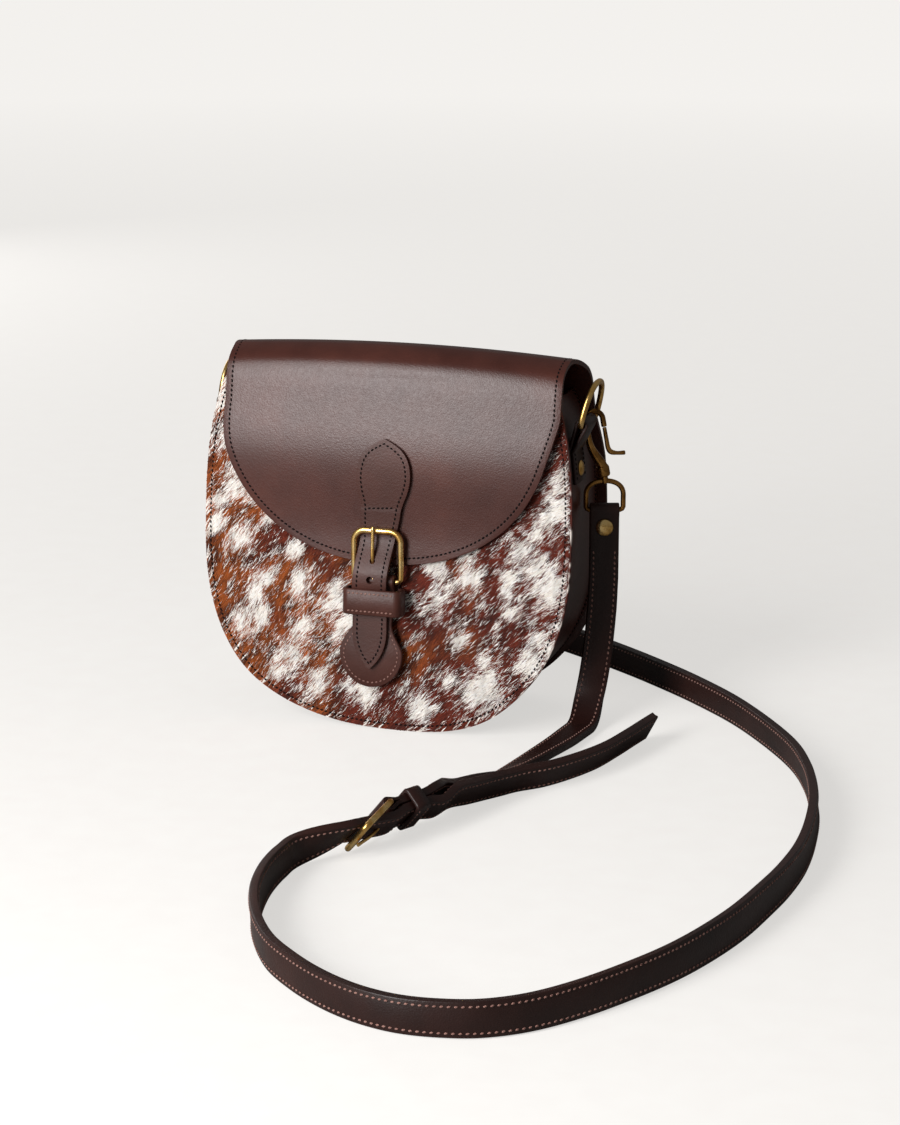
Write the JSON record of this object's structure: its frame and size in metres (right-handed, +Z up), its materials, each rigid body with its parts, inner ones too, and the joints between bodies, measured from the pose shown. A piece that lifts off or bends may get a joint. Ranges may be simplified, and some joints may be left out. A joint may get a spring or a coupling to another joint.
{
  "type": "saddle bag",
  "caption": "Small round-bottomed saddle bag with a hair-on front, a rolled flap, a buckled closure strap on a snap, and a long shoulder strap on swivel hooks.",
  "frame": {"origin": "centre of the base on the ground, midway between the front and back panels", "axes": "+Z up, the front with the closure faces -Y, +X is to the right as seen from the front"},
  "size_m": [0.3839, 0.5844, 0.2092],
  "materials": {
    "leather": "smooth dark chocolate leather with a soft satin sheen and painted edges",
    "hide": "hair-on hide, red-brown and cream patches",
    "suede": "matt brown lining",
    "brass": "antique brass, rubbed bright",
    "steel": "nickelled snap fastener"
  },
  "bodies": {
    "bag": {"front_panel": "hide", "front_lining": "suede", "back_panel": "leather", "back_lining": "suede", "gusset": "leather", "snap_socket": "steel", "snap_washer": "steel", "strap_long": "leather", "strap_short": "leather", "strap_buckle_frame": "brass", "strap_buckle_prong": "brass", "ring_tab_right": "leather", "ring_tab_right_rivet": "brass", "hook_eye_right": "brass", "strap_rivet_right": "brass", "ring_tab_left": "leather", "ring_tab_left_rivet": "brass", "hook_eye_left": "brass", "strap_rivet_left": "brass"},
    "flap": {"flap": "leather", "closure_leaf": "leather"},
    "closure": {"closure_strap": "leather", "closure_base": "leather", "closure_buckle": "brass", "closure_prong": "brass", "closure_keeper": "leather", "snap_stud": "steel"},
    "strap_loop": {"strap_keeper": "leather"},
    "ring_right": {"d_ring_right": "brass"},
    "hook_right": {"hook_body_right": "brass"},
    "lever_right": {"hook_lever_right": "brass"},
    "ring_left": {"d_ring_left": "brass"},
    "hook_left": {"hook_body_left": "brass"},
    "lever_left": {"hook_lever_left": "brass"}
  },
  "joints": [
    {"name": "flap_hinge", "type": "hinge", "parent": "bag", "child": "flap", "pos_m": [0, 0.01502, 0.19198], "axis": [-1, 0, 0], "range_deg": [0, 120]},
    {"name": "closure_lift", "type": "hinge", "parent": "flap", "child": "closure", "pos_m": [0, -0.04263, 0.12362], "axis": [-1, 0, 0], "range_deg": [0, 45]},
    {"name": "d_ring_right_swing", "type": "hinge", "parent": "bag", "child": "ring_right", "pos_m": [0.105, -0.0075, 0.171], "axis": [0, 1, 0], "range_deg": [-5, 5]},
    {"name": "hook_right_swivel", "type": "hinge", "parent": "bag", "child": "hook_right", "pos_m": [0.105, 0.0045, 0.171], "axis": [-0.1723, -0.0593, 0.9833], "range_deg": [-8, 8]},
    {"name": "hook_right_lever", "type": "hinge", "parent": "hook_right", "child": "lever_right", "pos_m": [0.11299, 0.00725, 0.15172], "axis": [0.3256, -0.9455, 0], "range_deg": [0, 18], "stiffness_Nm_per_rad": 0.02, "springref_deg": -17.19},
    {"name": "d_ring_left_swing", "type": "hinge", "parent": "bag", "child": "ring_left", "pos_m": [-0.10163, -0.0075, 0.171], "axis": [0, -1, 0], "range_deg": [-5, 5]},
    {"name": "hook_left_swivel", "type": "hinge", "parent": "bag", "child": "hook_left", "pos_m": [-0.10163, 0.008, 0.171], "axis": [0.2203, -0.16, 0.9622], "range_deg": [-3, 8]},
    {"name": "hook_left_lever", "type": "hinge", "parent": "hook_left", "child": "lever_left", "pos_m": [-0.10988, 0.014, 0.15258], "axis": [0.5878, 0.809, 0], "range_deg": [0, 18], "stiffness_Nm_per_rad": 0.02, "springref_deg": -17.19},
    {"name": "strap_loop_slide", "type": "slide", "parent": "bag", "child": "strap_loop", "axis": [0.4271, 0.9041, -0.0164], "range_m": [-0.0015, 0.004]}
  ]
}
